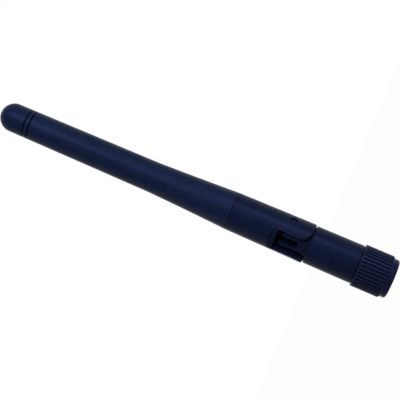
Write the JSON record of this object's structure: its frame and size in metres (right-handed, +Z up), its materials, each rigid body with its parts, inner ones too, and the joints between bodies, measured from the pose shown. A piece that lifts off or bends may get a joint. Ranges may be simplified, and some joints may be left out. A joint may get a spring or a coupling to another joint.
{
  "type": "swivel transmitter antenna",
  "caption": "Folding rod antenna: slim domed whip on a hinge, turning body and ribbed screw grip over a small coaxial connector.",
  "frame": {"origin": "centre of the grip's mating end, where the screw connector meets the jack", "axes": "+Z up the antenna to the whip's tip, X along the hinge's pivot pins, and the whip folds towards -Y"},
  "size_m": [0.011, 0.011, 0.108],
  "materials": {
    "navy_plastic": "satin black-navy moulded plastic with a very fine texture",
    "nickel": "nickel plated brass, turned",
    "spring_steel": "plain spring steel",
    "silicone": "red silicone rubber",
    "gold": "gold plated brass",
    "brass": "plain drawn brass",
    "white_plastic": "white fluoroplastic",
    "grey_plastic": "dark grey moulded plastic",
    "dark_pin": "blackened steel",
    "cable_jacket": "dark brown cable jacket"
  },
  "bodies": {
    "connector": {"connector_body": "gold", "contact_insulator": "white_plastic", "centre_contact": "gold", "sealing_gasket": "silicone", "nut_snap_ring": "spring_steel", "crimp_ferrule": "nickel", "swivel_clip": "spring_steel", "cable_lower": "cable_jacket"},
    "grip": {"grip_sleeve": "navy_plastic", "coupling_nut": "nickel"},
    "swivel": {"swivel_body": "navy_plastic", "cable_bend": "cable_jacket"},
    "whip": {"hinge_fork": "navy_plastic", "pivot_pin_left": "dark_pin", "pivot_pin_right": "dark_pin", "cable_upper": "cable_jacket", "cable_bush": "grey_plastic", "dipole_sleeve": "brass", "feed_ring": "brass", "feed_bead": "white_plastic", "radiator_rod": "brass", "tip_spacer": "white_plastic", "whip_cover": "navy_plastic"}
  },
  "joints": [
    {"name": "grip_spin", "type": "hinge", "parent": "connector", "child": "grip", "pos_m": [0, 0, 0.006], "axis": [0, 0, 1], "continuous": true},
    {"name": "swivel_turn", "type": "hinge", "parent": "connector", "child": "swivel", "pos_m": [0, 0, 0.0125], "axis": [0, 0, 1], "range_deg": [-180, 180]},
    {"name": "whip_fold", "type": "hinge", "parent": "swivel", "child": "whip", "pos_m": [0, -0.0005, 0.0277], "axis": [1, 0, 0], "range_deg": [0, 90], "deforming": ["cable_bend"]}
  ]
}
